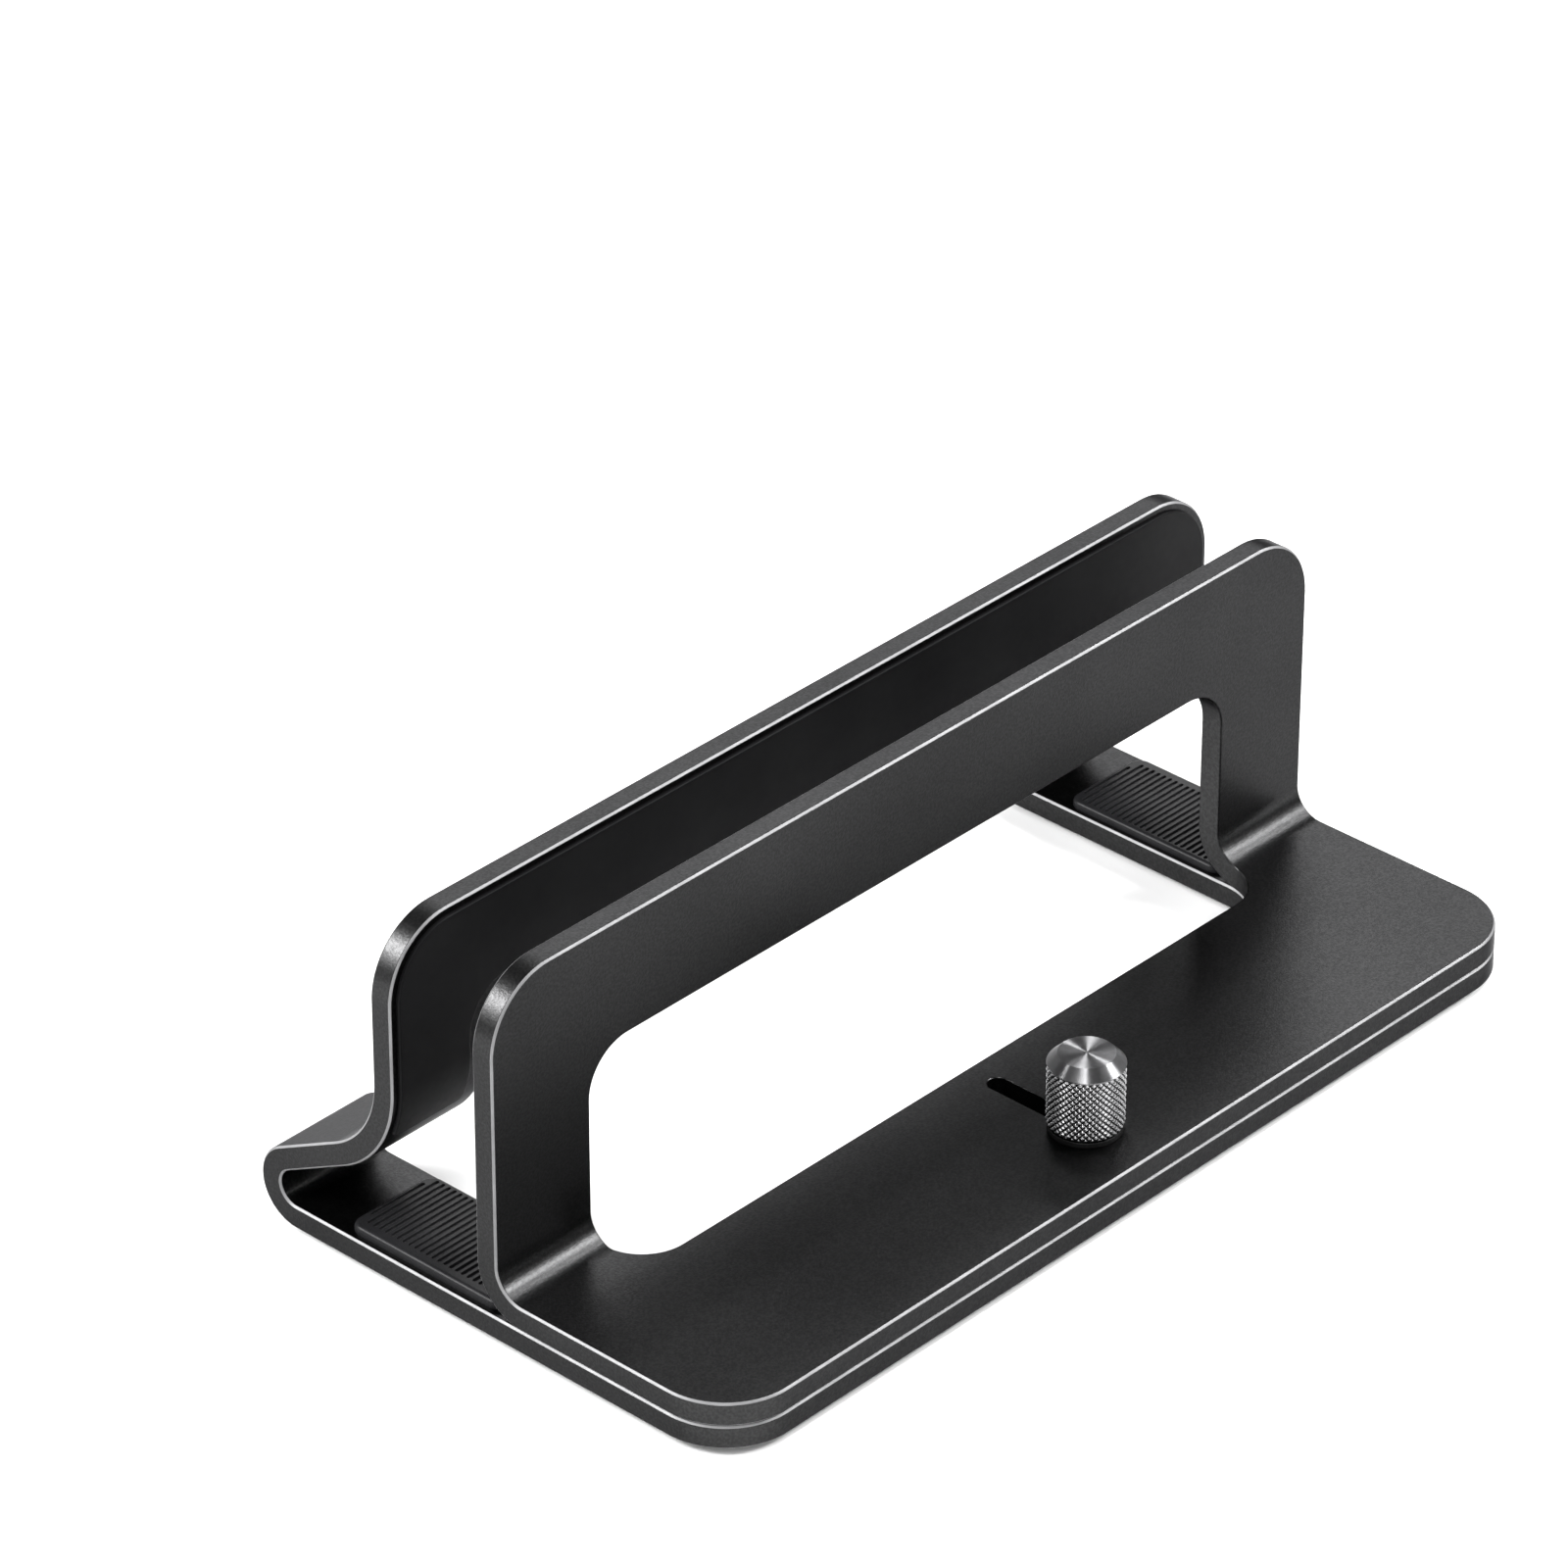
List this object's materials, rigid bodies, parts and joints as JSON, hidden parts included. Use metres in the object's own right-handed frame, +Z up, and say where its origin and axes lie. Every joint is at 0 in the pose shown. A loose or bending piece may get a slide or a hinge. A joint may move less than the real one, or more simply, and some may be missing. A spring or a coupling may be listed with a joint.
{
  "type": "vertical laptop stand",
  "caption": "Adjustable upright holder for a closed laptop: folded base plate with a fixed rear jaw, and a sliding front jaw clamped by a knurled thumbscrew.",
  "frame": {"origin": "on the ground under the middle of the stand's length and depth, at the underside of the rubber feet", "axes": "+X along the jaws to the right, +Y from the sliding front jaw towards the fixed rear jaw, +Z up"},
  "size_m": [0.18, 0.0944, 0.061],
  "materials": {
    "anodised_plate": "bead-blasted and anodised dark grey, with bright cut bevels",
    "soft_pad": "smooth matt black silicone skin",
    "ribbed_mat": "matt black silicone with fine cross grooves",
    "bright_knob": "turned bright metal, spun top, diamond knurl on the side",
    "screw_steel": "plain machined steel",
    "black_washer": "black moulded nylon",
    "rubber_foot": "matt black rubber"
  },
  "bodies": {
    "base": {"base_plate": "anodised_plate", "rear_jaw_pad": "soft_pad", "floor_mat_left": "ribbed_mat", "floor_mat_right": "ribbed_mat", "guide_pin_left": "screw_steel", "guide_pin_right": "screw_steel", "foot_front_left": "rubber_foot", "foot_front_right": "rubber_foot", "foot_rear_left": "rubber_foot", "foot_rear_right": "rubber_foot"},
    "jaw": {"front_jaw": "anodised_plate", "front_jaw_pad": "soft_pad"},
    "washer": {"clamp_washer": "black_washer"},
    "thumbscrew": {"clamp_knob": "bright_knob", "clamp_stud": "screw_steel"}
  },
  "joints": [
    {"name": "jaw_slide", "type": "slide", "parent": "base", "child": "jaw", "axis": [0, -1, 0], "range_m": [0, 0.017]},
    {"name": "screw_lift", "type": "slide", "parent": "base", "child": "washer", "axis": [0, 0, 1], "range_m": [0, 0.0015]},
    {"name": "screw_turn", "type": "hinge", "parent": "washer", "child": "thumbscrew", "pos_m": [0, -0.03515, 0.01], "axis": [0, 0, 1], "range_deg": [0, 1080]}
  ],
  "couplings": [
    {"joint": "screw_turn", "follows": "screw_lift", "rad_per_m": 12566}
  ]
}
